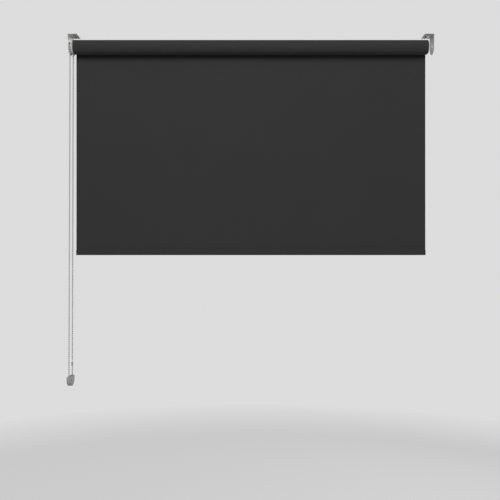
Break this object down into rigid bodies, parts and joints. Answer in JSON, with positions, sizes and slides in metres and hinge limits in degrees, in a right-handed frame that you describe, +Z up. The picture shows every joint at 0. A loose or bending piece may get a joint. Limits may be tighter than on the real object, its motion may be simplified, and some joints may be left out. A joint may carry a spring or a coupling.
{
  "type": "roller blind",
  "caption": "Chain-operated roller blind for inside a window recess: fabric roll on a clutch-driven tube, end brackets, weighted hem bar and a bead chain held by a wall tidy.",
  "frame": {"origin": "in the ceiling plane of the recess, midway between the brackets and straight above the roller's axis", "axes": "+X along the roller towards the idle end, +Y from the room towards the window, +Z up"},
  "size_m": [1.032, 0.0473, 0.9915],
  "materials": {
    "fabric": "coated blackout cloth, matt, plain weave",
    "bracket": "white powder coat",
    "white_plastic": "moulded, satin",
    "tidy_plastic": "moulded, satin, pale grey",
    "nylon": "moulded grey nylon",
    "chain": "moulded pale grey beads on a cord",
    "bar_cap": "moulded charcoal plastic",
    "aluminium": "extruded, mill finish",
    "fastener": "bright zinc plate",
    "spring": "oiled spring wire"
  },
  "bodies": {
    "root": {"left_bracket": "bracket", "right_bracket": "bracket", "left_screw_front": "fastener", "left_screw_back": "fastener", "right_screw_front": "fastener", "right_screw_back": "fastener", "clutch_outer_shell": "white_plastic", "clutch_inner_shell": "white_plastic", "clutch_core": "nylon", "core_washer": "fastener", "core_screw": "fastener", "idle_bush": "white_plastic", "bead_chain": "chain", "chain_connector": "chain", "tidy_base": "tidy_plastic", "tidy_cover": "tidy_plastic", "tidy_screw_front": "fastener", "tidy_screw_back": "fastener"},
    "roller": {"drive_drum": "nylon", "roller_tube": "aluminium", "fabric_spline": "white_plastic", "fabric_roll": "fabric", "idle_plug": "white_plastic", "pin_spring": "spring"},
    "chain_wheel": {"sprocket": "nylon", "clutch_spring_outer": "spring", "clutch_spring_inner": "spring"},
    "pin": {"idle_pin": "fastener"},
    "bottom_bar": {"hem_sleeve": "fabric", "bottom_lath": "aluminium", "bar_cap_left": "bar_cap", "bar_cap_right": "bar_cap", "fabric_panel": "fabric"}
  },
  "joints": [
    {"name": "roll_turn", "type": "hinge", "parent": "root", "child": "roller", "pos_m": [0, 0, -0.0325], "axis": [1, 0, 0], "range_deg": [-2820, 1560]},
    {"name": "sprocket_turn", "type": "hinge", "parent": "root", "child": "chain_wheel", "pos_m": [0, 0, -0.0325], "axis": [1, 0, 0], "range_deg": [-2820, 1560]},
    {"name": "bar_slide", "type": "slide", "parent": "root", "child": "bottom_bar", "axis": [0, 0, 1], "range_m": [-0.982, 0.5435], "deforming": ["fabric_panel"]},
    {"name": "idle_pin_slide", "type": "slide", "parent": "roller", "child": "pin", "axis": [1, 0, 0], "range_m": [-0.008, 0], "stiffness_N_per_m": 400, "springref_m": 0.01, "deforming": ["pin_spring"]}
  ],
  "couplings": [
    {"joint": "sprocket_turn", "follows": "roll_turn", "ratio": 1},
    {"joint": "bar_slide", "follows": "roll_turn", "m_per_rad": 0.01995}
  ]
}
